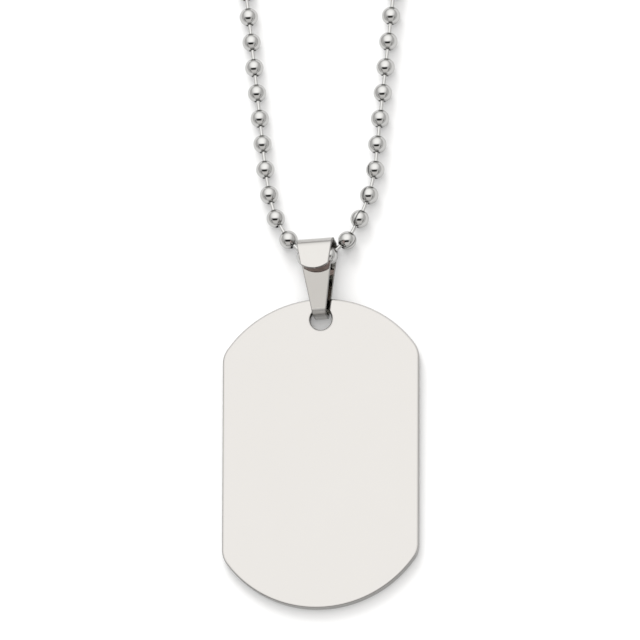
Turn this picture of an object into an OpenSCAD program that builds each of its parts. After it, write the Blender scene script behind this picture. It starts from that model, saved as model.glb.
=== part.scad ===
// A blank identification tag of polished steel on a ball chain, lying on a flat surface.
// X runs across the tag, Y along it towards the chain, Z up from the surface.
// The drawing is laid out from the axis of the tag's hole, then moved so that the
// origin is under the middle of everything.

/* [Tag] */
// Width across the straight sides
tag_w = 25.3; // [24:0.1:27]
// Length from end to end
tag_l = 40.7; // [38:0.1:46]
// Thickness of the plate
tag_t = 1.2; // [0.9:0.1:1.3]
// Radius of the two curved ends
end_r = 14.8; // [14.5:0.1:18]
// Radius that softens each of the four corners
corner_r = 3.1; // [2:0.1:6]
// Diameter of the hole for the bail
hole_d = 2.8; // [2.6:0.1:3]
// Distance from the upper end to the middle of the hole
hole_in = 2.7; // [2.5:0.1:3]
// Turn of the tag in degrees about the hole, a negative one brings its lower end to the left
tag_turn = -0.3; // [-0.6:0.1:0.6]

/* [Bail] */
// Thickness of the folded strip
strip_t = 0.4; // [0.3:0.05:0.4]
// Width of the strip where it passes through the hole
bail_w_low = 1.65; // [1.4:0.05:1.7]
// Width of the strip at the top fold
bail_w_top = 4.8; // [4.5:0.05:4.85]
// Distance from the hole's axis to the outside of the top fold
bail_reach = 10.1; // [10.1:0.05:10.4]
// Height of the outside of the top fold above the surface
bail_h = 5.3; // [5.2:0.05:5.5]
// Height of the outside of the lower bend above the surface
bend_h = 3.4; // [3.3:0.05:3.5]
// Slope of the front leaf in degrees, rising towards the chain
leaf_slope = 6.5; // [5:0.5:7]
// Distance from the hole's axis to the free end of the front leaf
leaf_reach = 7; // [6.5:0.1:7]
// Slope of the lip in degrees, rising from the top fold to its free end
lip_slope = 8; // [7:0.5:10]
// Distance from the hole's axis to the tip of the lip
lip_tip = 5.65; // [5.5:0.05:5.8]
// Radius of the lip's rounded end
lip_r = 2.9; // [2.6:0.05:3.1]
// Turn of the bail in degrees about the hole, its top towards the left
bail_turn = 2; // [1.5:0.1:2.3]

/* [Chain] */
// Diameter of a ball
ball_d = 2.4; // [2.3:0.02:2.4]
// Wall of the hollow ball
ball_wall = 0.25; // [0.22:0.01:0.25]
// Distance between the middles of two balls where the chain lies straight
pitch = 3.43; // [3.4:0.01:3.44]
// Balls of the left strand past its first four
left_count = 84; // [70:1:100]
// Diameter of a link's shank
shank_d = 0.5; // [0.4:0.02:0.5]
// Diameter of the link's head, held loose inside the next ball
head_d = 0.9; // [0.88:0.01:0.9]
// Diameter of the hole that the link runs through
link_hole_d = 0.84; // [0.8:0.01:0.84]
// Distance from a ball's middle to the head of its link
head_reach = 3; // [2.98:0.01:3]
// Angle in degrees between a straight strand and the tag's length
strand_lean = 6; // [5:0.1:7]
// Angle in degrees to which the strands open out round the neck
neck_lean = 26; // [22:1:32]
// Radius of the bend where the strands open out
flare_r = 60; // [50:1:80]

/* [Connector] */
// Wall of the connector
conn_wall = 0.25; // [0.2:0.01:0.3]
// Gap between a ball and the connector round it
conn_gap = 0.2; // [0.15:0.01:0.25]
// Diameter of the hole in each end of the connector
conn_hole_d = 1.3; // [1.2:0.02:1.4]
// Distance between the two balls that the connector holds
conn_span = 5; // [4.6:0.1:5.4]
// Width of the slot along the connector
conn_slot = 0.7; // [0.6:0.02:0.8]

/* [Hidden] */
$fn = 48;

steel = [0.80, 0.79, 0.77];
steel_bail = [0.74, 0.73, 0.71];
steel_ball = [0.66, 0.66, 0.65];

// Gap between pieces that lie on each other
seat = 0.1;
past = 1;
arc_steps = 8;

// Tag
hole_y = tag_l / 2 - hole_in;
arc_y = tag_l / 2 - end_r;
corner_x = tag_w / 2 - corner_r;
corner_dy = sqrt(pow(end_r - corner_r, 2) - pow(corner_x, 2));
corner_y = arc_y + corner_dy;
tag_low_y = hole_in - tag_l;
bend_y = 0.25;
tag_tilt = atan((strip_t + seat) / (bend_y - tag_low_y));

// Bail
bend_r = 0.7;
fold_r = 0.9;
top_r = 1.8;
lip_start = lip_tip - 0.15;
lip_cut_z = 4.6;

// Chain
ball_r = ball_d / 2;
ball_in_r = ball_r - ball_wall;
shank_from = ball_r - 0.2;
bail_ball_z = strip_t + seat + ball_r;
conn_in_r = ball_r + conn_gap;
conn_r = conn_in_r + conn_wall;

// Two balls inside the bail, then the first ball of each strand
in_left = [-1.95, 8.3, bail_ball_z];
in_right = [1.05, 8.4, bail_ball_z];
first_left = [-4.25, 10.85, ball_r];
first_right = [3.33, 10.45, ball_r];
// Steps from ball to ball beside the bail: degrees away from the tag's length, distance
STEP_LEAN = 0;
STEP_LEN = 1;
left_steps = [[29.7, 3.34], [14.9, 3.29], [8.5, 3.44]];
right_steps = [[30.2, 3.22], [21.6, 3.345], [13.3, 3.43], [4.6, 3.38]];

// Walks along steps away from the tag on one side (-1 left, 1 right)
function walk(from, steps, count, side) = count == 0 ? from
    : walk(from, steps, count - 1, side)
      + steps[count - 1][STEP_LEN] * [side * sin(steps[count - 1][STEP_LEAN]),
                                      cos(steps[count - 1][STEP_LEAN]), 0];

left_near = len(left_steps) + 1;
right_near = len(right_steps) + 1;
left_line = walk(first_left, left_steps, left_near - 1, -1);
right_line = walk(first_right, right_steps, right_near - 1, 1);

// The straight strands run to flare_y, where both are half_gap from the loop's middle
flare_y = 42;
left_x = left_line[0] - (flare_y - left_line[1]) * tan(strand_lean);
right_x = right_line[0] + (flare_y - right_line[1]) * tan(strand_lean);
mid_x = (left_x + right_x) / 2;
half_gap = (right_x - left_x) / 2;
left_straight = (flare_y - left_line[1]) / cos(strand_lean);
right_straight = (flare_y - right_line[1]) / cos(strand_lean);

// Past flare_y: a bend outwards, a straight, and the arc round the back of the neck
side_len = left_count * pitch + conn_span / 2 - left_straight;
right_count = round((right_straight + side_len - conn_span / 2) / pitch);
right_pitch = (right_straight + side_len - conn_span / 2) / right_count;
flare_len = flare_r * (neck_lean - strand_lean) * PI / 180;
open_x = half_gap + flare_r * (cos(strand_lean) - cos(neck_lean));
open_y = flare_y + flare_r * (sin(neck_lean) - sin(strand_lean));
neck_r = (side_len - flare_len + open_x / sin(neck_lean))
    / (cos(neck_lean) / sin(neck_lean) + PI / 2 + neck_lean * PI / 180);
slant_len = (neck_r * cos(neck_lean) - open_x) / sin(neck_lean);
neck_y = open_y + slant_len * cos(neck_lean) + neck_r * sin(neck_lean);

// Place on one side of the loop, s along it from flare_y, as distance from the middle and Y
function loop_at(s) =
    s < 0 ? [half_gap + s * sin(strand_lean), flare_y + s * cos(strand_lean)]
    : s < flare_len ? flare_at(strand_lean + s / flare_r * 180 / PI)
    : s < flare_len + slant_len ? slant_at(s - flare_len)
    : neck_at((s - flare_len - slant_len) / neck_r * 180 / PI - neck_lean);
function flare_at(lean) = [half_gap + flare_r * (cos(strand_lean) - cos(lean)),
                           flare_y + flare_r * (sin(lean) - sin(strand_lean))];
function slant_at(s) = [open_x + s * sin(neck_lean), open_y + s * cos(neck_lean)];
function neck_at(turn) = [neck_r * cos(turn), neck_y + neck_r * sin(turn)];

// Ball n of a strand counted from the bail, 0 being the first one outside it
function strand_ball(n, side) =
    let (near = side < 0 ? left_near : right_near,
         first = side < 0 ? first_left : first_right,
         steps = side < 0 ? left_steps : right_steps,
         straight = side < 0 ? left_straight : right_straight,
         gap = side < 0 ? pitch : right_pitch,
         last = near - 1 + (side < 0 ? left_count : right_count),
         p = loop_at((n - near + 1) * gap - straight),
         z = n == last ? conn_r : ball_r)
    n < near ? walk(first, steps, n, side) : [mid_x + side * p[0], p[1], z];

left_balls = left_near + left_count;
right_balls = right_near + right_count;
ball_count = left_balls + right_balls + 2;

// Ball k of the whole chain, from the connector down the left strand and up the right
function ball_at(k) =
    k < left_balls ? strand_ball(left_balls - 1 - k, -1)
    : k == left_balls ? in_left
    : k == left_balls + 1 ? in_right
    : strand_ball(k - left_balls - 2, 1);

conn_y = ball_at(0)[1];
all_low = tag_low_y - tag_t * sin(tag_tilt);
all_high = conn_y + conn_r;
middle = [mid_x, (all_low + all_high) / 2, 0];

function unit(v) = v / norm(v);

// Points along a path with each inner corner turned into an arc
function rounded(path, radii) = [
    for (i = [0:len(path) - 1])
        for (p = i == 0 || i == len(path) - 1 ? [path[i]]
                 : corner_arc(path[i - 1], path[i], path[i + 1], radii[i]))
            p];
function corner_arc(a, p, b, r) =
    let (u = unit(a - p), v = unit(b - p), half = acos(u * v) / 2,
         c = p + unit(u + v) * r / sin(half),
         from = p + u * r / tan(half) - c, to = p + v * r / tan(half) - c,
         a0 = atan2(from[1], from[0]), turn = atan2(to[1], to[0]) - a0,
         sweep = turn > 180 ? turn - 360 : turn < -180 ? turn + 360 : turn)
    [for (i = [0:arc_steps])
        c + r * [cos(a0 + sweep * i / arc_steps), sin(a0 + sweep * i / arc_steps)]];

// A path moved sideways to its left by a distance
function left_of(path, d) = [
    for (i = [0:len(path) - 1])
        let (n1 = left_normal(path, max(i, 1)), n2 = left_normal(path, min(i + 1, len(path) - 1)))
            path[i] + d * (n1 + n2) / (1 + n1 * n2)];
function left_normal(path, i) =
    let (d = unit(path[i] - path[i - 1])) [-d[1], d[0]];
function backwards(list) = [for (i = [len(list) - 1:-1:0]) list[i]];

// The strip's outside, seen from the side: front leaf, lower bend, back leaf, top fold, lip
strip_out = [
    [leaf_reach, bend_h + (leaf_reach - bend_y) * tan(leaf_slope)],
    [bend_y, bend_h],
    [bend_y, 0],
    [bail_reach, 0],
    [bail_reach, bail_h],
    [lip_start, bail_h + (bail_reach - lip_start) * tan(lip_slope)]];
out_radii = [0, bend_r, bend_r, fold_r, top_r, 0];
in_radii = [0, bend_r - strip_t, bend_r - strip_t, fold_r - strip_t, top_r - strip_t, 0];

module tag_half() {
    // Quarter arcs and plain areas that meet edge to edge
    wedge = 2 * end_r / norm([corner_x, corner_dy]);
    intersection() {
        translate([0, arc_y]) circle(r = end_r, $fn = 180);
        polygon([[0, arc_y], [corner_x * wedge, arc_y + corner_dy * wedge],
                 [-corner_x * wedge, arc_y + corner_dy * wedge]]);
    }
    for (side = [-1, 1])
        intersection() {
            translate([side * corner_x, corner_y]) circle(r = corner_r, $fn = 90);
            polygon([[side * corner_x, corner_y],
                     [side * corner_x * wedge, arc_y + corner_dy * wedge],
                     [side * tag_w, corner_y]]);
        }
    polygon([[-tag_w / 2, 0], [tag_w / 2, 0], [tag_w / 2, corner_y], [corner_x, corner_y],
             [0, arc_y], [-corner_x, corner_y], [-tag_w / 2, corner_y]]);
}

module tag_blank() {
    difference() {
        linear_extrude(tag_t)
            union() {
                tag_half();
                mirror([0, 1]) tag_half();
            }
        translate([0, hole_y, -past]) cylinder(d = hole_d, h = tag_t + 2 * past);
    }
}

// The plate, tipped up a little where its upper end lies over the bail's back leaf
module tag() {
    color(steel)
        translate(-middle) rotate([0, 0, tag_turn]) translate([0, tag_low_y, 0])
            rotate([tag_tilt, 0, 0]) translate([0, tag_l / 2, 0]) tag_blank();
}

// The bail's outline from the front, wider towards the top fold
module taper() {
    low = bail_w_low / 2;
    top = bail_w_top / 2;
    grow = (top - low) / (bail_reach - bend_y);
    polygon([[-low + grow * past, bend_y - past], [low - grow * past, bend_y - past],
             [top + grow * past, bail_reach + past], [-top - grow * past, bail_reach + past]]);
}

module folded_strip() {
    side_on = concat(rounded(strip_out, out_radii),
                     backwards(rounded(left_of(strip_out, strip_t), in_radii)));
    rotate([90, 0, 90]) linear_extrude(2 * bail_w_top, center = true) polygon(side_on);
}

// What is cut away round the lip's rounded end
module lip_cut() {
    translate([0, 0, lip_cut_z])
        linear_extrude(bail_h)
            difference() {
                translate([-bail_w_top, lip_tip - past]) square([2 * bail_w_top, lip_r + past]);
                translate([0, lip_tip + lip_r]) circle(r = lip_r, $fn = 90);
            }
}

module bail() {
    color(steel_bail)
        translate(-middle) rotate([0, 0, bail_turn])
            difference() {
                intersection() {
                    folded_strip();
                    translate([0, 0, -past]) linear_extrude(bail_h + 3 * past) taper();
                }
                lip_cut();
            }
}

// Turns what points up so that it points along v
module along(v) {
    rotate([0, acos(v[2] / norm(v)), atan2(v[1], v[0])]) children();
}

// One hollow ball, drilled towards the ball before it and in one piece with its link.
// Its spheres are turned with the chain, so that their seam lies beside the hole and the link.
module ball_and_link(k) {
    here = ball_at(k);
    across = ball_at(min(k + 1, ball_count - 1)) - ball_at(max(k - 1, 0));
    aside = [0, 0, atan2(across[1], across[0]) + 90];
    translate(here)
        difference() {
            union() {
                rotate(aside) sphere(d = ball_d);
                if (k < ball_count - 1)
                    along(ball_at(k + 1) - here) link();
            }
            rotate(aside) sphere(r = ball_in_r);
            if (k > 0)
                along(ball_at(k - 1) - here) cylinder(d = link_hole_d, h = 2 * ball_r);
        }
}

module link() {
    translate([0, 0, shank_from]) cylinder(d = shank_d, h = head_reach - shank_from, $fn = 24);
    translate([0, 0, head_reach]) sphere(d = head_d, $fn = 24);
}

module ball_chain() {
    color(steel_ball)
        translate(-middle)
            for (k = [0:ball_count - 1]) ball_and_link(k);
}

// A slotted sleeve with closed ends round the two end balls
module chain_connector() {
    half = conn_span / 2 + conn_in_r;
    color(steel_ball)
        translate([mid_x, conn_y, conn_r] - middle) difference() {
            rotate([0, 90, 0])
                rotate_extrude()
                    polygon([[conn_hole_d / 2, -half - conn_wall], [conn_r, -half - conn_wall],
                             [conn_r, half + conn_wall], [conn_hole_d / 2, half + conn_wall],
                             [conn_hole_d / 2, half], [conn_in_r, half],
                             [conn_in_r, -half], [conn_hole_d / 2, -half]]);
            translate([-half - past, -conn_slot / 2, 0])
                cube([2 * half + 2 * past, conn_slot, conn_r + past]);
        }
}

tag();
bail();
ball_chain();
chain_connector();
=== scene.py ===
"""A blank tag of mirror-polished steel on a folded bail and a loop of ball chain, lying on a white table."""
import math

import bmesh
import bpy
import numpy as np
from mathutils import Matrix, Vector

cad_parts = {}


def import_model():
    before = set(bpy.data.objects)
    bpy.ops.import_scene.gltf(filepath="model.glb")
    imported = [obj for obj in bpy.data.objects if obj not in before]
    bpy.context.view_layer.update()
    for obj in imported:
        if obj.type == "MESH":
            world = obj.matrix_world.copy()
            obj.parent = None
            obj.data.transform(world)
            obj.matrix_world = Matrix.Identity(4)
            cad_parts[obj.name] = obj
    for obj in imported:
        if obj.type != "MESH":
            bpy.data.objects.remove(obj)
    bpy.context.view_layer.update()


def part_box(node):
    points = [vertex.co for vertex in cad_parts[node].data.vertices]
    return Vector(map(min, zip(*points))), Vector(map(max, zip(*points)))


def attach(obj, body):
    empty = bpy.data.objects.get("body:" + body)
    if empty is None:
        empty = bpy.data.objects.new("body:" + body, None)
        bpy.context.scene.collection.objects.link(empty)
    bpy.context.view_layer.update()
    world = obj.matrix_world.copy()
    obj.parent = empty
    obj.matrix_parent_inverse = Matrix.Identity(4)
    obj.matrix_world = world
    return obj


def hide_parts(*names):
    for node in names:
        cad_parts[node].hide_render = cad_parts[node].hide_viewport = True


MM = 0.001

# The tag
TAG_W = 25.3 * MM
TAG_L = 40.7 * MM
TAG_T = 1.2 * MM
END_R = 14.8 * MM
CORNER_R = 3.1 * MM
HOLE_R = 1.4 * MM
HOLE_IN = 2.7 * MM
TAG_TURN = math.radians(-0.3)
TAG_EDGE = 0.13 * MM
# How far in from the outline the rim's painted shade has faded out
TAG_RIM = 2.2 * TAG_EDGE

# The bail's strip: its sizes from the side, and its outline from the front
STRIP_T = 0.4 * MM
BAIL_LOW_W = 1.65 * MM
BAIL_TOP_W = 4.8 * MM
BAIL_REACH = 10.1 * MM
BAIL_H = 5.3 * MM
BEND_Y = 0.25 * MM
BEND_H = 3.4 * MM
BEND_R = 0.7 * MM
FOLD_R = 0.9 * MM
TOP_R = 1.8 * MM
LEAF_REACH = 7 * MM
LEAF_SLOPE = math.radians(6.5)
LIP_SLOPE = math.radians(8)
LIP_TIP = 5.65 * MM
LIP_R = 2.9 * MM
BAIL_TURN = math.radians(2)
STRIP_EDGE = 0.05 * MM
# The front leaf's rows lie less than this over its lower bend
LEAF_RISE = 1.2 * MM
# The lip's rows are those that head forwards by more than this, from this far under BAIL_H up
LIP_HEADING = 0.5
LIP_ZONE = 1 * MM
# Width of the painted shade line along the strip's rims, and how far the lower bend is dulled
RIM_LINE = 0.09 * MM
BEND_WEAR = 0.6
STRIP_COLUMNS = 8

# The ball chain
BALL_R = 1.2 * MM
BALL_WALL = 0.25 * MM
LINK_HOLE_R = 0.42 * MM
# The hole's crimped rim: how far it lies under the ball's skin, and how far it spreads
CRIMP_SINK = 0.13 * MM
CRIMP_SPREAD = 0.03 * MM
# Angles from the hole's rim to where the ball's plain skin begins, and from the axis to its hollow
CRIMP_ANGLE = 0.1
HOLLOW_ANGLE = 0.55
# The ball's rolled seam: its half width round the ball, and its depth as a share of the radius
SEAM_WIDTH = math.radians(7)
SEAM_DIP = 0.05
# Even steps round a ball, besides the seam
BALL_SIDES = 22
# The link: its shank, its heads, and how far a head's middle stays from the ball's
SHANK_R = 0.25 * MM
HEAD_R = 0.45 * MM
HEAD_IN = 0.43 * MM
HEAD_TIP_R = 0.02 * MM
# The head's shape from tip to neck, as (radius, height) in head radii
HEAD_PROFILE = ((0.7, 0.7), (1, 0), (0.75, -0.6))
LINK_SIDES = 10
LINK_SEED = 7
# The gap left under what rests on the bail
SEAT = 0.1 * MM
# The loop's plan: ball spacing, balls, leans from the tag's length, and where it opens out
PITCH = 3.43 * MM
LEFT_COUNT = 84
STRAND_LEAN = math.radians(6)
NECK_LEAN = math.radians(26)
FLARE_R = 60 * MM
FLARE_Y = 42 * MM

# The sleeve that joins the chain's two end balls
CONN_SPAN = 5 * MM
CONN_IN_R = BALL_R + 0.2 * MM
CONN_R = CONN_IN_R + 0.25 * MM
CONN_HOLE_R = 0.65 * MM
CONN_SLOT = 0.7 * MM
CONN_EDGE = 0.06 * MM
CONN_ROUND = 4 * CONN_EDGE

# Places beside the bail, from the axis of the tag's hole
IN_LEFT = Vector((-1.95, 8.3, 0)) * MM
IN_RIGHT = Vector((1.05, 8.4, 0)) * MM
FIRST_LEFT = Vector((-4.25, 10.85, 0)) * MM
FIRST_RIGHT = Vector((3.33, 10.45, 0)) * MM
# Steps from ball to ball: degrees away from the tag's length, millimetres
LEFT_STEPS = ((29.7, 3.34), (14.9, 3.29), (8.5, 3.44))
RIGHT_STEPS = ((30.2, 3.22), (21.6, 3.345), (13.3, 3.43), (4.6, 3.38))

# How each ball's seam is turned round its axis, in degrees from straight up. These four are
# the right strand's first balls. All others start by the bail near SEAM_AWAY, which faces the
# table, and turn by SEAM_DRIFT from ball to ball away from it
SEAM_TURNS = (62, -12, -30, -40)
SEAM_DRIFT = -3
SEAM_AWAY = 180
# What every point of the chain says about the shape set on it
POINT_VALUES = (("heading", "FLOAT_VECTOR"), ("turn", "FLOAT"), ("stretch", "FLOAT"))

# The steel's marks: a smudge's tint, how much it roughens and how dense a patch has to be to
# show, how fine streaks and scratches are along and across, and how fine the faces' waviness is
SMUDGE_TINT = (0.93, 0.925, 0.915)
SMUDGE_ROUGH = 0.16
SMUDGE_FLOOR = 0.45
LINE_ALONG = 900
STREAK_ACROSS = 5200
STREAK_TURN = 0.5
# Each set of scratches as (turn about Z, how fine across)
SCRATCHES = ((0.12, 60000), (-0.7, 42000))
SWELL_SCALE = 170.0

# The camera: leans from straight above towards the tag's lower end and to the right
CAMERA_LEAN = math.radians(16)
CAMERA_SIDE = math.radians(8.7)
CAMERA_AWAY = 2.5
FRAME_W = 81.7 * MM
SENSOR = 36
CLIP = (0.01, 20)
# The table's half size, its own white, and how much it glows
TABLE_HALF = 4.0
TABLE_WHITE = 0.66
TABLE_GLOW = 0.2
# The lamp behind the object: its width, its power and its place from the hole
LAMP_SIZE = 0.9
LAMP_POWER = 15.0
LAMP_SIDE = 0.3
LAMP_BACK = 1.2
LAMP_H = 0.75
# The grey room's tone, and the cards' height over the table
ROOM_TONE = (0.8, 0.795, 0.785)
CARD_H = 0.8
# The soft box's brightness, and how much wider it gets to the back, per metre, which keeps its
# mirror image on a ball even
SOFT_BOX_LIGHT = 1.85
CARD_GROWTH = 0.68
# How the soft box fades, as (darkest at, brightest at, share of light left): across in card
# heights from the hole, and along in degrees of lean
FADES_ACROSS = ((-1.15, -0.1, 0.6), (1.05, 0.1, 0.6))
FADES_ALONG = ((-9, 1, 0.62), (74, 28, 0.7))
# Where the hole's middle shows in the 640 x 640 photograph
HOLE_PIXEL = (320.8, 319.1)
FRAME_PIXELS = 640


def tag_tilt():
    """The tag lies with its upper end on the bail's back leaf and its lower end on the table."""
    return math.atan((STRIP_T + SEAT) / (BEND_Y + TAG_L - HOLE_IN))


def hole_axis(loop):
    """The hole's axis at the level of the table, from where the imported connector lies."""
    low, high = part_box("chain_connector")
    return Vector(((low[0] + high[0]) / 2 - loop.mid_x,
                   (low[1] + high[1]) / 2 - loop.neck_y - loop.neck_r, 0))


def arc(centre, radius, start, stop, steps):
    """Points along an arc, in degrees from the first axis."""
    angles = np.radians(np.linspace(start, stop, steps + 1))
    return [(centre[0] + radius * math.cos(a), centre[1] + radius * math.sin(a)) for a in angles]


def mesh_object(name, bm, material):
    """A finished mesh as an object at the origin."""
    bmesh.ops.remove_doubles(bm, verts=bm.verts, dist=1e-7)
    bmesh.ops.recalc_face_normals(bm, faces=bm.faces)
    mesh = bpy.data.meshes.new(name)
    bm.to_mesh(mesh)
    bm.free()
    mesh.polygons.foreach_set("use_smooth", [True] * len(mesh.polygons))
    mesh.materials.append(material)
    piece = bpy.data.objects.new(name, mesh)
    bpy.context.collection.objects.link(piece)
    return piece


# Shader groups and materials

def new_group(name, inputs, outputs):
    """An empty shader group with float, colour or vector sockets, and its two end nodes."""
    group = bpy.data.node_groups.new(name, "ShaderNodeTree")
    for label, kind, value in inputs:
        socket = group.interface.new_socket(label, in_out="INPUT", socket_type="NodeSocket" + kind)
        socket.default_value = value
    for label, kind in outputs:
        group.interface.new_socket(label, in_out="OUTPUT", socket_type="NodeSocket" + kind)
    return group, group.nodes.new("NodeGroupInput"), group.nodes.new("NodeGroupOutput")


def math_node(nodes, links, operation, *values, clamp=False):
    """One step of arithmetic on numbers or other nodes' outputs."""
    node = nodes.new("ShaderNodeMath")
    node.operation = operation
    node.use_clamp = clamp
    for slot, value in enumerate(values):
        if isinstance(value, (int, float)):
            node.inputs[slot].default_value = value
        else:
            links.new(value, node.inputs[slot])
    return node.outputs[0]


def noise(nodes, links, vector, scale, detail=2.0, rough=0.5, distortion=0.0):
    """A cloudy pattern; its scale is a number or another node's output."""
    node = nodes.new("ShaderNodeTexNoise")
    node.inputs["Detail"].default_value = detail
    node.inputs["Roughness"].default_value = rough
    node.inputs["Distortion"].default_value = distortion
    if isinstance(scale, (int, float)):
        node.inputs["Scale"].default_value = scale
    else:
        links.new(scale, node.inputs["Scale"])
    links.new(vector, node.inputs["Vector"])
    return node.outputs["Fac"]


def stretched(nodes, links, vector, scale, turn):
    """The pattern's coordinates, turned about Z and drawn out along one axis."""
    mapping = nodes.new("ShaderNodeMapping")
    mapping.inputs["Scale"].default_value = scale
    mapping.inputs["Rotation"].default_value = (0, 0, turn)
    links.new(vector, mapping.inputs["Vector"])
    return mapping.outputs["Vector"]


def smudge_group():
    """Faint handling marks: a mask of soft cloudy patches with finer streaks in them."""
    group, start, end = new_group(
        "handling_smudges",
        [("Vector", "Vector", (0, 0, 0)), ("Patch Scale", "Float", 120.0), ("Streak", "Float", 0.4)],
        [("Mask", "Float")])
    nodes, links = group.nodes, group.links
    patches = noise(nodes, links, start.outputs["Vector"], start.outputs["Patch Scale"],
                    detail=3, rough=0.55, distortion=0.6)
    drawn = stretched(nodes, links, start.outputs["Vector"], (LINE_ALONG, STREAK_ACROSS, LINE_ALONG),
                      STREAK_TURN)
    streaks = noise(nodes, links, drawn, scale=1.0, detail=2, rough=0.6)
    mixed = math_node(nodes, links, "MULTIPLY", streaks, start.outputs["Streak"])
    total = math_node(nodes, links, "ADD", patches, mixed)
    lifted = math_node(nodes, links, "SUBTRACT", total, SMUDGE_FLOOR, clamp=True)
    links.new(lifted, end.inputs["Mask"])
    return group


def scratch_group():
    """Hairline polishing scratches in two directions, as a height."""
    group, start, end = new_group(
        "polishing_hairlines",
        [("Vector", "Vector", (0, 0, 0)), ("Density", "Float", 1.0)],
        [("Height", "Float")])
    nodes, links = group.nodes, group.links
    heights = []
    for turn, across in SCRATCHES:
        drawn = stretched(nodes, links, start.outputs["Vector"], (across, LINE_ALONG, LINE_ALONG), turn)
        lines = noise(nodes, links, drawn, start.outputs["Density"], detail=2, rough=0.7)
        heights.append(math_node(nodes, links, "POWER", lines, 3.0))
    links.new(math_node(nodes, links, "ADD", heights[0], heights[1]), end.inputs["Height"])
    return group


def tone_and_painted_light_group():
    """Painted shade on rims, holes and hollows, a painted darker reflection on the front leaf, painted shade
    in a ball's seam, the strip's inside tone and a bright painted light under the lip, by the mesh's own
    marks.
    """
    group, start, end = new_group(
        "tones_and_painted_light",
        [("Face", "Color", (0.7, 0.7, 0.7, 1)), ("Painted Rim And Hole Shade", "Color", (0.8, 0.8, 0.8, 1)),
         ("Painted Leaf And Seam Shade", "Color", (0.5, 0.5, 0.5, 1)), ("Inside", "Color", (0.5, 0.5, 0.5, 1)),
         ("Under Lip Painted Light", "Color", (0.5, 0.5, 0.5, 1)), ("Amount", "Float", 0.6)],
        [("Color", "Color"), ("Rough", "Float")])
    nodes, links = group.nodes, group.links
    tone = start.outputs["Face"]
    layers = (("painted_leaf_and_seam_shade", "Painted Leaf And Seam Shade"), ("inner", "Inside"), ("under_lip_painted_light", "Under Lip Painted Light"), ("edge", "Painted Rim And Hole Shade"))
    for mark_name, colour in layers:
        mark = nodes.new("ShaderNodeAttribute")
        mark.attribute_name = mark_name
        amount = mark.outputs["Fac"]
        if mark_name == "edge":
            share = start.outputs["Amount"]
            amount = math_node(nodes, links, "MULTIPLY", amount, share, clamp=True)
        mix = nodes.new("ShaderNodeMix")
        mix.data_type = "RGBA"
        links.new(amount, mix.inputs["Factor"])
        links.new(tone, mix.inputs["A"])
        links.new(start.outputs[colour], mix.inputs["B"])
        tone = mix.outputs["Result"]
    links.new(tone, end.inputs["Color"])
    worn = nodes.new("ShaderNodeAttribute")
    worn.attribute_name = "rough"
    links.new(worn.outputs["Fac"], end.inputs["Rough"])
    return group


def place_group(nodes, links, group, vector=None):
    """A shader group as one node of a material."""
    node = nodes.new("ShaderNodeGroup")
    node.node_tree = group
    if vector is not None:
        links.new(vector, node.inputs["Vector"])
    return node


def surface_bump(nodes, links, coords, waviness, scratches, hairline):
    """The normal of a polished face with a faint swell and fine scratches in it."""
    swell = noise(nodes, links, coords, SWELL_SCALE, detail=1)
    swell = math_node(nodes, links, "MULTIPLY", swell, waviness)
    fine = math_node(nodes, links, "MULTIPLY", scratches, hairline)
    bump = nodes.new("ShaderNodeBump")
    bump.inputs["Strength"].default_value = 1.0
    bump.inputs["Distance"].default_value = MM
    links.new(math_node(nodes, links, "ADD", swell, fine), bump.inputs["Height"])
    return bump.outputs["Normal"]


def steel(name, groups, face, edge, painted_rim_shade_amount, rough, smudge, hairline, waviness, patch_scale,
          painted_leaf_and_seam_shade=None, inside=None, under_lip_painted_light=None, worn_rough=0.0):
    """Polished stainless steel. Colours are linear.

    smudge, hairline and waviness say how strong the marks are, patch_scale how fine the smudges are,
    and worn_rough how much rougher the worn places are. The tones left out are the face's. The edge
    tone is painted shade on rims, holes and hollows; the leaf and seam tone paints the front leaf darker
    as a painted reflection and the balls' seams near black as painted shade; the tone under the lip is
    a bright pink painted light."""
    material = bpy.data.materials.new(name)
    material.use_nodes = True
    nodes, links = material.node_tree.nodes, material.node_tree.links
    shader = nodes["Principled BSDF"]
    shader.inputs["Metallic"].default_value = 1.0
    coords = nodes.new("ShaderNodeTexCoord").outputs["Object"]

    edges = place_group(nodes, links, groups["edge"])
    edges.inputs["Face"].default_value = (*face, 1)
    edges.inputs["Painted Rim And Hole Shade"].default_value = (*edge, 1)
    edges.inputs["Painted Leaf And Seam Shade"].default_value = (*(painted_leaf_and_seam_shade or face), 1)
    edges.inputs["Inside"].default_value = (*(inside or face), 1)
    edges.inputs["Under Lip Painted Light"].default_value = (*(under_lip_painted_light or face), 1)
    edges.inputs["Amount"].default_value = painted_rim_shade_amount
    marks = place_group(nodes, links, groups["smudge"], coords)
    marks.inputs["Patch Scale"].default_value = patch_scale
    lines = place_group(nodes, links, groups["scratch"], coords)

    dull = nodes.new("ShaderNodeMix")
    dull.data_type = "RGBA"
    dull.blend_type = "MULTIPLY"
    dull.inputs["B"].default_value = (*SMUDGE_TINT, 1)
    links.new(math_node(nodes, links, "MULTIPLY", marks.outputs["Mask"], smudge), dull.inputs["Factor"])
    links.new(edges.outputs["Color"], dull.inputs["A"])
    links.new(dull.outputs["Result"], shader.inputs["Base Color"])

    extra = math_node(nodes, links, "MULTIPLY", marks.outputs["Mask"], smudge * SMUDGE_ROUGH)
    worn = math_node(nodes, links, "MULTIPLY", edges.outputs["Rough"], worn_rough)
    total = math_node(nodes, links, "ADD", extra, worn)
    links.new(math_node(nodes, links, "ADD", total, rough, clamp=True), shader.inputs["Roughness"])

    normal = surface_bump(nodes, links, coords, waviness, lines.outputs["Height"], hairline)
    links.new(normal, shader.inputs["Normal"])
    return material


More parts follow.
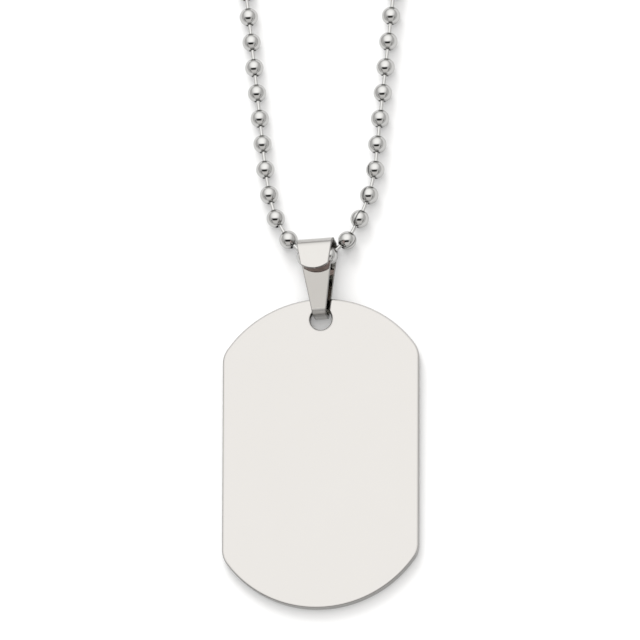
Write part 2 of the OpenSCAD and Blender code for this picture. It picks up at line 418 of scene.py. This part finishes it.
def glow(name, colour, strength, edges=(), fan=None):
    """A stage card's material. Each edge is (axis, dark at, bright at, share left in the dark).

    With a fan, (middle, growth), the edges along X lie farther out the farther back they are."""
    material = bpy.data.materials.new(name)
    material.use_nodes = True
    nodes, links = material.node_tree.nodes, material.node_tree.links
    nodes.remove(nodes["Principled BSDF"])
    lit = nodes.new("ShaderNodeEmission")
    lit.inputs["Color"].default_value = (*colour, 1)
    lit.inputs["Strength"].default_value = strength
    links.new(lit.outputs[0], nodes["Material Output"].inputs["Surface"])
    split = nodes.new("ShaderNodeSeparateXYZ")
    links.new(nodes.new("ShaderNodeTexCoord").outputs["Object"], split.inputs[0])
    across = split.outputs[0]
    if fan:
        middle, growth = fan
        back = math_node(nodes, links, "SUBTRACT", split.outputs[1], middle.y)
        widening = math_node(nodes, links, "ADD", math_node(nodes, links, "MULTIPLY", back, growth), 1.0)
        offset = math_node(nodes, links, "SUBTRACT", split.outputs[0], middle.x)
        offset = math_node(nodes, links, "DIVIDE", offset, widening)
        across = math_node(nodes, links, "ADD", offset, middle.x)
    total = strength
    for axis, dark, bright, share in edges:
        ramp = nodes.new("ShaderNodeMapRange")
        ramp.interpolation_type = "SMOOTHSTEP"
        for label, value in (("From Min", dark), ("From Max", bright), ("To Min", share)):
            ramp.inputs[label].default_value = value
        links.new(split.outputs[axis] if axis else across, ramp.inputs["Value"])
        total = math_node(nodes, links, "MULTIPLY", ramp.outputs["Result"], total)
    if edges:
        links.new(total, lit.inputs["Strength"])
    return material


# The tag

def tag_outline(inset):
    """The plate's outline counter-clockwise from the right side, moved inwards by inset."""
    cx = TAG_W / 2 - CORNER_R
    dy = math.sqrt((END_R - CORNER_R) ** 2 - cx ** 2)
    arc_y = TAG_L / 2 - END_R
    join = math.degrees(math.atan2(dy, cx))
    corner = arc((cx, arc_y + dy), CORNER_R - inset, 0, join, 8)
    end = arc((0, arc_y), END_R - inset, join, 180 - join, 48)
    other = [(-x, y) for x, y in reversed(corner)]
    top = corner + end[1:-1] + other
    return top + [(-x, -y) for x, y in top]


def rounded_wall(half, edge, steps=3):
    """Insets and heights of a wall's levels, from the lower face's rim round to the upper one's."""
    levels = []
    for i in range(steps + 1):
        a = math.pi / 2 * i / steps
        levels.append((edge * (1 - math.sin(a)), -half + edge * (1 - math.cos(a))))
    return levels + [(inset, -z) for inset, z in reversed(levels)]


def tag_plate(material, origin):
    """A flat plate with rounded edges and a hole, its faces filled between rim and hole."""
    bm = bmesh.new()
    mark = bm.verts.layers.float.new("edge")
    hole_y = TAG_L / 2 - HOLE_IN

    def ring(points, z, edge):
        verts = [bm.verts.new((x, y, z)) for x, y in points]
        for v in verts:
            v[mark] = edge
        return verts

    def wall(rings):
        for a, b in zip(rings, rings[1:]):
            for i in range(len(a)):
                bm.faces.new((a[i], a[i - 1], b[i - 1], b[i]))

    # Each level is (inset, height, edge mark); the edge mark paints shade along the rounded rims
    levels = [(inset, z, 1) for inset, z in rounded_wall(TAG_T / 2, TAG_EDGE)]
    levels = [(TAG_RIM, -TAG_T / 2, 0)] + levels + [(TAG_RIM, TAG_T / 2, 0)]
    rims = [ring(tag_outline(inset), z, edge) for inset, z, edge in levels]
    holes = [ring(arc((0, hole_y), HOLE_R + inset, 0, 360, 48)[:-1], z, edge)
             for inset, z, edge in levels]
    wall(rims)
    wall(holes)
    # Each flat face fills what lies between its rim and the hole
    for level in (0, -1):
        edges = [bm.edges.get((line[i], line[i - 1]))
                 for line in (rims[level], holes[level]) for i in range(len(line))]
        bmesh.ops.triangle_fill(bm, use_beauty=True, use_dissolve=False, edges=edges)
    place = (Matrix.Translation(origin) @ Matrix.Rotation(TAG_TURN, 4, "Z")
             @ Matrix.Translation((0, HOLE_IN - TAG_L, 0)) @ Matrix.Rotation(tag_tilt(), 4, "X")
             @ Matrix.Translation((0, TAG_L / 2, TAG_T / 2)))
    bm.transform(place)
    return mesh_object("tag_plate", bm, material)


# The bail

def strip_route():
    """The strip's middle line from the side, from the front leaf's free end round to the lip's tip.

    Each entry is a place (y, z) and a heading, with arcs at the four corners."""
    outer = [Vector((LEAF_REACH, BEND_H + (LEAF_REACH - BEND_Y) * math.tan(LEAF_SLOPE))),
             Vector((BEND_Y, BEND_H)), Vector((BEND_Y, 0)), Vector((BAIL_REACH, 0)),
             Vector((BAIL_REACH, BAIL_H)),
             Vector((LIP_TIP, BAIL_H + (BAIL_REACH - LIP_TIP) * math.tan(LIP_SLOPE)))]
    headings = [(b - a).normalized() for a, b in zip(outer, outer[1:])]
    normals = [Vector((-d.y, d.x)) for d in headings]
    half = STRIP_T / 2
    corners = [outer[0] + half * normals[0]]
    for i in range(1, 5):
        n1, n2 = normals[i - 1], normals[i]
        corners.append(outer[i] + half * (n1 + n2) / (1 + n1.dot(n2)))
    corners.append(outer[5] + half * normals[4])
    route = [(corners[0], headings[0])]
    for i, radius in zip(range(1, 5), (BEND_R, BEND_R, FOLD_R, TOP_R)):
        route += bend(corners[i], headings[i - 1], headings[i], radius - half)
    route.append((corners[5], headings[4]))
    return route


def bend(corner, before, after, radius, steps=10):
    """Places and headings round one bend of the middle line."""
    turn = before.angle_signed(after)
    reach = radius * math.tan(abs(turn) / 2)
    start = corner - before * reach
    side = Vector((-before.y, before.x)) * (1 if turn < 0 else -1)
    centre = start + side * radius
    out = []
    for i in range(steps + 1):
        spin = Matrix.Rotation(-turn * i / steps, 2)
        out.append((centre + spin @ (start - centre), spin @ before))
    return out


def strip_rows(inset):
    """Rows across the strip as (place, heading, half width), moved inwards by inset at every rim."""
    grow = (BAIL_TOP_W - BAIL_LOW_W) / 2 / (BAIL_REACH - BEND_Y)

    def half_width(y):
        return BAIL_LOW_W / 2 + (y - BEND_Y) * grow - inset

    route = strip_route()
    rows = []
    first, heading = route[0]
    start = first + heading * inset
    for place in (start, start + heading * STRIP_T):
        rows.append((place, heading, half_width(place.x)))
    # One row just before the first bend, so that the bend's wear stops there
    leaf_end, heading = route[1]
    rows.append((leaf_end - heading * STRIP_T / 2, heading, half_width(leaf_end.x + STRIP_T / 2)))
    rows += [(p, h, half_width(p.x)) for p, h in route[1:-1]]
    # The lip runs on to where its rounded end begins, and then shrinks along the circle
    heading = route[-1][1]
    centre_y = LIP_TIP + LIP_R
    radius = LIP_R - inset
    meet = meet_angle(half_width, centre_y, radius)
    fold = route[-2][0]
    for angle in np.linspace(meet, math.pi / 2, 12):
        y = centre_y - radius * math.sin(angle)
        along = (y - fold.x) / heading.x
        rows.append((fold + heading * along, heading, radius * math.cos(angle)))
    return rows


def meet_angle(half_width, centre_y, radius):
    """Where the lip's end circle leaves the strip's slanting side."""
    low, high = 0.0, math.pi / 2
    for _ in range(40):
        mid = (low + high) / 2
        wide = radius * math.cos(mid) > half_width(centre_y - radius * math.sin(mid))
        low, high = (mid, high) if wide else (low, mid)
    return high


def column_place(c, half):
    """Columns across the strip: one on each rim, one close beside it, the others spread evenly."""
    if c in (0, STRIP_COLUMNS):
        return half if c else -half
    inner = max(half - RIM_LINE, half / 2)
    return inner * (2 * (c - 1) / (STRIP_COLUMNS - 2) - 1)


def strip_skin(bm, layers, inset, height):
    """The strip's vertices at one height in its thickness, row by row, with their marks."""
    inside = height < 0
    skin = []
    for place, heading, half in strip_rows(inset):
        on_leaf = place.x < LEAF_REACH and BEND_H - BEND_R < place.y < BEND_H + LEAF_RISE
        on_bend = on_leaf and place.x < BEND_Y + BEND_R
        # Under the lip, the bright pink tone is a painted light that the front leaf shows as a painted
        # reflection
        under_lip_painted_light = inside and -heading.x > LIP_HEADING and place.y > BAIL_H - LIP_ZONE
        wear = 1 if under_lip_painted_light else BEND_WEAR if on_bend else 0
        # On the front leaf, the darker tone is a painted reflection
        marks = {"painted_leaf_and_seam_shade": on_leaf and not on_bend, "inner": inside, "under_lip_painted_light": under_lip_painted_light,
                 "rough": wear}
        spot = place + Vector((heading.y, -heading.x)) * height
        row = []
        for c in range(STRIP_COLUMNS + 1):
            v = bm.verts.new((column_place(c, half), spot.x, spot.y))
            # The two rim columns carry the painted shade line along the strip's rims
            v[layers["edge"]] = float(c in (0, STRIP_COLUMNS))
            for name, amount in marks.items():
                v[layers[name]] = float(amount)
            row.append(v)
        skin.append(row)
    return skin


def rim_of(skin):
    """The vertices round the edge of a skin's rows, in order."""
    right = [row[-1] for row in skin[1:-1]]
    left = [row[0] for row in reversed(skin[1:-1])]
    return list(skin[0]) + right + list(reversed(skin[-1])) + left


def bail_strip(material, origin):
    """The folded strip with rounded rims: one skin over its outside, its rims and its inside."""
    bm = bmesh.new()
    layers = {name: bm.verts.layers.float.new(name)
              for name in ("edge", "painted_leaf_and_seam_shade", "inner", "under_lip_painted_light", "rough")}
    skins = [strip_skin(bm, layers, inset, height)
             for inset, height in rounded_wall(STRIP_T / 2, STRIP_EDGE)]
    for skin in (skins[0], skins[-1]):
        for a, b in zip(skin, skin[1:]):
            for c in range(STRIP_COLUMNS):
                bm.faces.new((a[c], a[c + 1], b[c + 1], b[c]))
    for lower, upper in zip(skins, skins[1:]):
        rim_low, rim_up = rim_of(lower), rim_of(upper)
        for i in range(len(rim_low)):
            bm.faces.new((rim_low[i], rim_low[i - 1], rim_up[i - 1], rim_up[i]))
    # Between the two faces only the rims are kept
    for skin in skins[1:-1]:
        rim = set(rim_of(skin))
        middle = [v for row in skin for v in row if v not in rim]
        bmesh.ops.delete(bm, geom=middle, context="VERTS")
    bm.transform(Matrix.Translation(origin) @ Matrix.Rotation(BAIL_TURN, 4, "Z"))
    return mesh_object("bail_strip", bm, material)


# The chain's route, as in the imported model

def walk(first, steps, side):
    """Places of a strand's first balls, walking away from the bail."""
    places = [first]
    for lean, length in steps:
        a = math.radians(lean)
        places.append(places[-1] + length * MM * Vector((side * math.sin(a), math.cos(a), 0)))
    return places


class Loop:
    """The part of the loop past the bail: straight, opening out, straight, and round the neck."""

    def __init__(self):
        self.near = {-1: walk(FIRST_LEFT, LEFT_STEPS, -1), 1: walk(FIRST_RIGHT, RIGHT_STEPS, 1)}
        ends = {side: places[-1] for side, places in self.near.items()}
        reach = {side: end.x + side * (FLARE_Y - end.y) * math.tan(STRAND_LEAN)
                 for side, end in ends.items()}
        self.mid_x = (reach[-1] + reach[1]) / 2
        self.half_gap = (reach[1] - reach[-1]) / 2
        self.straight = {side: (FLARE_Y - end.y) / math.cos(STRAND_LEAN) for side, end in ends.items()}
        side_len = LEFT_COUNT * PITCH + CONN_SPAN / 2 - self.straight[-1]
        right_len = self.straight[1] + side_len - CONN_SPAN / 2
        right_count = round(right_len / PITCH)
        self.count = {-1: LEFT_COUNT, 1: right_count}
        self.gap = {-1: PITCH, 1: right_len / right_count}
        self.flare_len = FLARE_R * (NECK_LEAN - STRAND_LEAN)
        self.open = Vector(self.flare(NECK_LEAN))
        tan_part = 1 / math.tan(NECK_LEAN) + math.pi / 2 + NECK_LEAN
        self.neck_r = (side_len - self.flare_len + self.open.x / math.sin(NECK_LEAN)) / tan_part
        self.slant = (self.neck_r * math.cos(NECK_LEAN) - self.open.x) / math.sin(NECK_LEAN)
        self.neck_y = (self.open.y + self.slant * math.cos(NECK_LEAN)
                       + self.neck_r * math.sin(NECK_LEAN))

    def flare(self, lean):
        """A place on the right side's opening arc, where the chain leans by lean."""
        return (self.half_gap + FLARE_R * (math.cos(STRAND_LEAN) - math.cos(lean)),
                FLARE_Y + FLARE_R * (math.sin(lean) - math.sin(STRAND_LEAN)))

    def at(self, s):
        """Distance from the loop's middle and Y, s along one side from FLARE_Y."""
        if s < 0:
            return self.half_gap + s * math.sin(STRAND_LEAN), FLARE_Y + s * math.cos(STRAND_LEAN)
        if s < self.flare_len:
            return self.flare(STRAND_LEAN + s / FLARE_R)
        s -= self.flare_len
        if s < self.slant:
            return self.open.x + s * math.sin(NECK_LEAN), self.open.y + s * math.cos(NECK_LEAN)
        turn = (s - self.slant) / self.neck_r - NECK_LEAN
        return self.neck_r * math.cos(turn), self.neck_y + self.neck_r * math.sin(turn)

    def strand(self, side):
        """Ball places of one strand from the bail to the connector, at their heights."""
        places = [p + Vector((0, 0, BALL_R)) for p in self.near[side]]
        for n in range(1, self.count[side] + 1):
            off, y = self.at(n * self.gap[side] - self.straight[side])
            z = CONN_R if n == self.count[side] else BALL_R
            places.append(Vector((self.mid_x + side * off, y, z)))
        return places


def ball_places(loop, origin):
    """Every ball from the connector down the left strand and up the right, and its seam's turn."""
    left, right = loop.strand(-1), loop.strand(1)
    in_bail = Vector((0, 0, STRIP_T + SEAT + BALL_R))
    inside = [IN_LEFT + in_bail, IN_RIGHT + in_bail]
    places = list(reversed(left)) + inside + right
    plain = len(left) + len(inside)
    seams = [SEAM_AWAY + SEAM_DRIFT * (plain - n) for n in range(plain)]
    shown = len(SEAM_TURNS)
    seams += [SEAM_TURNS[n] if n < shown else SEAM_AWAY + SEAM_DRIFT * (n - shown + 1)
              for n in range(len(right))]
    return [origin + p for p in places], [math.radians(s) for s in seams]


# Shapes that repeat along the chain

def turned_columns(bm, profile, angles, dips=None):
    """A column of vertices at every angle round Z, for a profile of (radius, z, edge), where edge marks
    painted shade.

    dips gives, per angle, how far the skin sinks there. What sinks gets the mark for painted shade,
    which on the balls paints the seam's groove near black."""
    mark = bm.verts.layers.float.new("edge")
    groove = bm.verts.layers.float.new("painted_leaf_and_seam_shade")
    columns = []
    for k, a in enumerate(angles):
        column = []
        for r, z, edge in profile:
            sink = dips[k] if dips and edge == 0 else 0
            v = bm.verts.new((r * math.cos(a) * (1 - sink), r * math.sin(a) * (1 - sink), z))
            v[mark] = edge
            v[groove] = 1 if sink else 0
            column.append(v)
        columns.append(column)
    return columns


def lathe(profile, angles, closed_profile=True, dips=None):
    """Turns a profile all the way round Z."""
    bm = bmesh.new()
    columns = turned_columns(bm, profile, angles, dips)
    count = len(profile)
    for k in range(len(columns)):
        a, b = columns[k - 1], columns[k]
        for i in range(count if closed_profile else count - 1):
            j = (i + 1) % count
            bm.faces.new((a[i], b[i], b[j], a[j]))
    return bm


def ball_shape(material):
    """One hollow ball with a crimped hole at each pole and a fine seam between them."""
    pole = math.asin(LINK_HOLE_R / BALL_R)
    skin_from = pole + CRIMP_ANGLE
    outer = [(BALL_R * math.sin(a), BALL_R * math.cos(a), 0)
             for a in np.linspace(skin_from, math.pi - skin_from, 11)]
    lip_z = BALL_R * math.cos(pole)
    # The crimped rims and the hollow carry the edge mark: painted shade in the holes
    upper = [(LINK_HOLE_R, lip_z - CRIMP_SINK, 1),
             (LINK_HOLE_R + CRIMP_SPREAD, lip_z - CRIMP_SPREAD, 1)]
    lower = [(r, -z, edge) for r, z, edge in reversed(upper)]
    inner_r = BALL_R - BALL_WALL
    inner = [(inner_r * math.sin(a), inner_r * math.cos(a), 1)
             for a in np.linspace(math.pi - HOLLOW_ANGLE, HOLLOW_ANGLE, 4)]
    # The seam is one sunk column between two that lie close beside it
    whole = 2 * math.pi
    others = list(np.linspace(0, whole, BALL_SIDES + 1)[1:-1])
    turns = [0, SEAM_WIDTH] + others + [whole - SEAM_WIDTH]
    dips = [SEAM_DIP] + [0] * (len(turns) - 1)
    return mesh_object("ball_shape", lathe(upper + outer + lower + inner, turns, dips=dips), material)


def link_shape(material):
    """One link: a shank between two heads, drawn for two balls one pitch apart."""
    head_at = PITCH / 2 - HEAD_IN
    top = [(HEAD_TIP_R, head_at + HEAD_R, 0)]
    top += [(HEAD_R * r, head_at + HEAD_R * z, 0) for r, z in HEAD_PROFILE]
    top += [(SHANK_R, head_at - HEAD_R, 0)]
    profile = [(r, -z, e) for r, z, e in top] + [(r, z, e) for r, z, e in reversed(top)]
    turns = list(np.linspace(0, 2 * math.pi, LINK_SIDES + 1)[:-1])
    bm = lathe(profile, turns, closed_profile=False)
    bmesh.ops.holes_fill(bm, edges=bm.edges, sides=LINK_SIDES)
    return mesh_object("link_shape", bm, material)


def along_heading(nodes, links, heading, angle):
    """The rotation that lays a shape's Z along the heading, then turns it round it by the angle.

    Without the turn, the seam on the shape's X side points up."""
    frame = nodes.new("FunctionNodeAxesToRotation")
    frame.primary_axis = "Z"
    frame.secondary_axis = "X"
    links.new(heading, frame.inputs["Primary Axis"])
    frame.inputs["Secondary Axis"].default_value = (0, 0, 1)
    about = nodes.new("FunctionNodeAxisAngleToRotation")
    about.inputs["Axis"].default_value = (0, 0, 1)
    links.new(angle, about.inputs["Angle"])
    spin = nodes.new("FunctionNodeRotateRotation")
    spin.rotation_space = "LOCAL"
    links.new(frame.outputs["Rotation"], spin.inputs["Rotation"])
    links.new(about.outputs["Rotation"], spin.inputs["Rotate By"])
    return spin.outputs["Rotation"]


def repeat_nodes():
    """Geometry nodes that set one shape on every point, by the point's heading, turn and stretch."""
    tree = bpy.data.node_groups.new("set_along_chain", "GeometryNodeTree")
    for label, kind, in_out in (("Geometry", "Geometry", "INPUT"), ("Shape", "Object", "INPUT"),
                                ("Size", "Float", "INPUT"), ("Turn Scatter", "Float", "INPUT"),
                                ("Seed", "Int", "INPUT"), ("Material", "Material", "INPUT"),
                                ("Geometry", "Geometry", "OUTPUT")):
        tree.interface.new_socket(label, in_out=in_out, socket_type="NodeSocket" + kind)
    nodes, links = tree.nodes, tree.links
    start, end = nodes.new("NodeGroupInput"), nodes.new("NodeGroupOutput")

    own = {}
    for label, kind in POINT_VALUES:
        node = nodes.new("GeometryNodeInputNamedAttribute")
        node.data_type = kind
        node.inputs["Name"].default_value = label
        own[label] = node.outputs["Attribute"]

    scatter = nodes.new("FunctionNodeRandomValue")
    scatter.data_type = "FLOAT"
    links.new(start.outputs["Seed"], scatter.inputs["Seed"])
    random_out = next(s for s in scatter.outputs if s.enabled)
    angle = math_node(nodes, links, "MULTIPLY_ADD", random_out, start.outputs["Turn Scatter"], own["turn"])
    length = math_node(nodes, links, "MULTIPLY", start.outputs["Size"], own["stretch"])
    scale = nodes.new("ShaderNodeCombineXYZ")
    links.new(start.outputs["Size"], scale.inputs["X"])
    links.new(start.outputs["Size"], scale.inputs["Y"])
    links.new(length, scale.inputs["Z"])

    shape = nodes.new("GeometryNodeObjectInfo")
    links.new(start.outputs["Shape"], shape.inputs["Object"])
    place = nodes.new("GeometryNodeInstanceOnPoints")
    links.new(start.outputs["Geometry"], place.inputs["Points"])
    links.new(shape.outputs["Geometry"], place.inputs["Instance"])
    links.new(along_heading(nodes, links, own["heading"], angle), place.inputs["Rotation"])
    links.new(scale.outputs["Vector"], place.inputs["Scale"])
    real = nodes.new("GeometryNodeRealizeInstances")
    links.new(place.outputs["Instances"], real.inputs["Geometry"])
    dress = nodes.new("GeometryNodeSetMaterial")
    links.new(real.outputs["Geometry"], dress.inputs["Geometry"])
    links.new(start.outputs["Material"], dress.inputs["Material"])
    links.new(dress.outputs["Geometry"], end.inputs["Geometry"])
    return tree


def set_along(name, tree, shape, places, headings, turns, stretches, material, scatter=0.0, seed=1):
    """Runs the repeating nodes over a row of points and keeps the result as one plain mesh."""
    points = bpy.data.meshes.new(name + "_points")
    points.from_pydata(places, [], [])
    for (label, kind), values in zip(POINT_VALUES, (headings, turns, stretches)):
        layer = points.attributes.new(label, kind, "POINT")
        if kind == "FLOAT":
            layer.data.foreach_set("value", values)
        else:
            layer.data.foreach_set("vector", [c for h in values for c in h])
    piece = bpy.data.objects.new(name, points)
    bpy.context.collection.objects.link(piece)
    modifier = piece.modifiers.new("repeat", "NODES")
    modifier.node_group = tree
    values = {"Shape": shape, "Size": 1.0, "Turn Scatter": scatter, "Seed": seed, "Material": material}
    for item in tree.interface.items_tree:
        if item.in_out == "INPUT" and item.name in values:
            modifier[item.identifier] = values[item.name]
    bpy.context.view_layer.update()
    shown = piece.evaluated_get(bpy.context.evaluated_depsgraph_get())
    mesh = bpy.data.meshes.new_from_object(shown)
    piece.modifiers.clear()
    piece.data = mesh
    mesh.name = name
    bpy.data.meshes.remove(points)
    return piece


def chain(tree, material, loop, origin):
    """All balls as one piece and all links as another."""
    places, turns = ball_places(loop, origin)
    before = places[:1] + places[:-1]
    after = places[1:] + places[-1:]
    headings = [(b - a).normalized() for a, b in zip(before, after)]
    ball = ball_shape(material)
    balls = set_along("chain_balls", tree, ball, places, headings, turns, [1.0] * len(places), material)
    spans = [b - a for a, b in zip(places, places[1:])]
    middles = [(a + b) / 2 for a, b in zip(places, places[1:])]
    link = link_shape(material)
    links = set_along("chain_links", tree, link, middles, [s.normalized() for s in spans],
                      [0.0] * len(spans), [s.length / PITCH for s in spans], material,
                      scatter=math.pi, seed=LINK_SEED)
    for shape in (ball, link):
        bpy.data.objects.remove(shape)
    return balls, links, places


def connector_sleeve(material, places):
    """A sleeve with closed, softly rounded ends and a slot along its upper side."""
    half = CONN_SPAN / 2 + CONN_IN_R
    out = half + CONN_R - CONN_IN_R
    # The holes and the inside carry the edge mark: painted shade in them
    near_end = [(CONN_HOLE_R, half, 1), (CONN_HOLE_R, out - CONN_EDGE, 1),
                (CONN_HOLE_R + CONN_EDGE, out, 1), (CONN_R - CONN_ROUND, out, 0),
                (CONN_R - CONN_EDGE, out - CONN_EDGE, 0), (CONN_R, out - CONN_ROUND, 0)]
    far_end = [(r, -z, e) for r, z, e in reversed(near_end)]
    inside = [(CONN_IN_R, -half, 1), (CONN_IN_R, half, 1)]
    profile = near_end + far_end + inside
    slot = CONN_SLOT / 2 / CONN_R
    bm = bmesh.new()
    columns = turned_columns(bm, profile, np.linspace(slot, 2 * math.pi - slot, 33))
    for a, b in zip(columns, columns[1:]):
        for i in range(len(profile)):
            bm.faces.new((a[i - 1], b[i - 1], b[i], a[i]))
    for column in (columns[0], columns[-1]):
        bm.faces.new(column)
    centre = (places[0] + places[-1]) / 2
    along_x = Matrix.Rotation(math.pi / 2, 4, "Y") @ Matrix.Rotation(math.pi, 4, "Z")
    bm.transform(Matrix.Translation(centre) @ along_x)
    return mesh_object("connector_sleeve", bm, material)


# The stage: table, cards, light and camera

def stage_card(name, corners, material, lights_floor):
    """A card that the camera doesn't see, but the polished steel does."""
    mesh = bpy.data.meshes.new(name)
    mesh.from_pydata(corners, [], [(0, 1, 2, 3)])
    mesh.materials.append(material)
    card = bpy.data.objects.new(name, mesh)
    bpy.context.collection.objects.link(card)
    card.visible_camera = False
    card.visible_shadow = False
    card.visible_diffuse = lights_floor
    return card


def overhead_card(name, centre, half_x, from_deg, to_deg, material, lights_floor=False, growth=0.0):
    """A level card that fills the sky from one lean to another along Y, seen from the hole.

    growth is how much wider it gets to the back, per metre."""
    y0, y1 = (centre.y + CARD_H * math.tan(math.radians(d)) for d in (from_deg, to_deg))
    x0, x1 = (CARD_H * x for x in half_x)
    far = 1 + growth * (y1 - centre.y)
    corners = [(x0, y0, CARD_H), (x1, y0, CARD_H), (x1 * far, y1, CARD_H), (x0 * far, y1, CARD_H)]
    corners = [(centre.x + x, y, z) for x, y, z in corners]
    return stage_card(name, corners, material, lights_floor)


def table():
    """A white light table: part of its brightness comes from inside, which keeps shadows pale."""
    half = TABLE_HALF
    corners = [(-half, -half, 0), (half, -half, 0), (half, half, 0), (-half, half, 0)]
    mesh = bpy.data.meshes.new("table")
    mesh.from_pydata(corners, [], [(0, 1, 2, 3)])
    material = bpy.data.materials.new("white_table")
    material.use_nodes = True
    shader = material.node_tree.nodes["Principled BSDF"]
    shader.inputs["Base Color"].default_value = (TABLE_WHITE, TABLE_WHITE, TABLE_WHITE, 1)
    shader.inputs["Roughness"].default_value = 0.9
    shader.inputs["Specular IOR Level"].default_value = 0.0
    shader.inputs["Emission Color"].default_value = (1, 1, 1, 1)
    shader.inputs["Emission Strength"].default_value = TABLE_GLOW
    mesh.materials.append(material)
    top = bpy.data.objects.new("table", mesh)
    bpy.context.collection.objects.link(top)


def camera(hole):
    """The photograph's angle: leaning towards the lower end and the right, the tag's length upright."""
    towards = Vector((math.tan(CAMERA_SIDE), -math.tan(CAMERA_LEAN), 1)).normalized()
    length = Vector((0, 1, 0))
    up = (length - length.dot(towards) * towards).normalized()
    right = up.cross(towards)
    pixel = FRAME_W / FRAME_PIXELS
    off_x, off_y = (p - FRAME_PIXELS / 2 for p in HOLE_PIXEL)
    target = hole - right * off_x * pixel + up * off_y * pixel
    data = bpy.data.cameras.new("photo_camera")
    data.sensor_width = SENSOR
    data.lens = SENSOR * CAMERA_AWAY / FRAME_W
    data.clip_start, data.clip_end = CLIP
    eye = bpy.data.objects.new("photo_camera", data)
    turn = Matrix((right, up, towards)).transposed().to_4x4()
    eye.matrix_world = Matrix.Translation(target + towards * CAMERA_AWAY) @ turn
    bpy.context.collection.objects.link(eye)
    bpy.context.scene.camera = eye


def back_lamp(centre):
    """A wide lamp behind the object, seen by no polished face: it casts the shadows in front."""
    data = bpy.data.lights.new("back_lamp", "AREA")
    data.shape = "DISK"
    data.size = LAMP_SIZE
    data.energy = LAMP_POWER
    lamp = bpy.data.objects.new("back_lamp", data)
    offset = Vector((-LAMP_SIDE, LAMP_BACK, LAMP_H))
    lamp.location = centre + offset
    lamp.rotation_euler = (-offset).to_track_quat("-Z", "Y").to_euler()
    lamp.visible_glossy = False
    lamp.visible_camera = False
    bpy.context.collection.objects.link(lamp)


def soft_card_edges(centre):
    """How the large soft box fades: to both sides, to the camera, and slowly away from it."""
    def x_at(share):
        return centre.x + share * CARD_H

    def y_at(degrees):
        return centre.y + CARD_H * math.tan(math.radians(degrees))

    across = [(0, x_at(dark), x_at(bright), share) for dark, bright, share in FADES_ACROSS]
    along = [(1, y_at(dark), y_at(bright), share) for dark, bright, share in FADES_ALONG]
    return across + along


def surroundings(centre):
    """A pale grey room with a soft box beyond the tag's upper end and a dark gap overhead.

    Past the tag's lower end, one pale card lies between two dark grey ones."""
    scene = bpy.context.scene
    scene.view_settings.view_transform = "Standard"
    world = bpy.data.worlds.new("room")
    world.use_nodes = True
    sky = world.node_tree.nodes["Background"]
    sky.inputs["Color"].default_value = (*ROOM_TONE, 1)
    sky.inputs["Strength"].default_value = 1.0
    scene.world = world
    white = glow("card_white", (1, 0.995, 0.985), SOFT_BOX_LIGHT, soft_card_edges(centre),
                 (centre, CARD_GROWTH))
    black = glow("card_gap", (0.01, 0.01, 0.01), 1.0)
    pale = glow("card_near", (1.0, 0.98, 0.96), 1.0)
    grey = glow("card_side", (0.25, 0.25, 0.245), 1.0)
    overhead_card("soft_card", centre, half_x=(-1.1, 1.0), from_deg=-13.5, to_deg=74,
                  material=white, lights_floor=True, growth=CARD_GROWTH)
    overhead_card("gap_card", centre, half_x=(-0.8, 0.6), from_deg=-37, to_deg=-12, material=black)
    overhead_card("near_card", centre, half_x=(-1.1, 1.3), from_deg=-72, to_deg=-38, material=pale)
    for name, half_x in (("side_card_left", (-1.9, -1.15)), ("side_card_right", (1.35, 2.1))):
        overhead_card(name, centre, half_x, from_deg=-70, to_deg=-30, material=grey)
    table()
    back_lamp(centre)


def main():
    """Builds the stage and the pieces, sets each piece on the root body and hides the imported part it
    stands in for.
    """
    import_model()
    loop = Loop()
    hole = hole_axis(loop)
    top_of_tag = hole + Vector((0, 0, STRIP_T + SEAT + TAG_T))
    camera(top_of_tag)
    surroundings(hole)

    groups = {"edge": tone_and_painted_light_group(), "smudge": smudge_group(), "scratch": scratch_group()}
    # Each edge tone is painted shade on the rims, holes and hollows
    tag_steel = steel("tag_mirror", groups, face=(0.457, 0.445, 0.432),
                      edge=(0.34, 0.333, 0.325), painted_rim_shade_amount=0.8,
                      rough=0.05, smudge=0.25, hairline=0.0006, waviness=0.002, patch_scale=90)
    bail_steel = steel("bail_polish", groups, face=(0.46, 0.45, 0.435),
                       edge=(0.2, 0.195, 0.19), painted_rim_shade_amount=0.8,
                       rough=0.06, smudge=0.4, hairline=0.001, waviness=0.01, patch_scale=300,
                       # The front leaf's darker tone is a painted reflection
                       painted_leaf_and_seam_shade=(0.325, 0.315, 0.3), inside=(0.42, 0.415, 0.39),
                       # The bright pink tone under the lip is a painted light
                       under_lip_painted_light=(1.0, 0.88, 0.86), worn_rough=0.7)
    chain_steel = steel("chain_polish", groups, face=(0.49, 0.488, 0.48),
                        edge=(0.12, 0.12, 0.118), painted_rim_shade_amount=0.85,
                        rough=0.03, smudge=0.3, hairline=0.0006, waviness=0.004, patch_scale=500,
                        # The seams' near-black tone is painted shade
                        painted_leaf_and_seam_shade=(0.02, 0.02, 0.02))

    plate = tag_plate(tag_steel, hole)
    strip = bail_strip(bail_steel, hole)
    balls, links, places = chain(repeat_nodes(), chain_steel, loop, hole)
    sleeve = connector_sleeve(chain_steel, places)

    for piece, node, slot in ((plate, "tag", "tag_steel"), (strip, "bail", "bail_steel"),
                              (balls, "ball_chain", "chain_steel"),
                              (sleeve, "chain_connector", "chain_steel")):
        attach(piece, "root")
        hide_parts(node)
    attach(links, "root")


main()
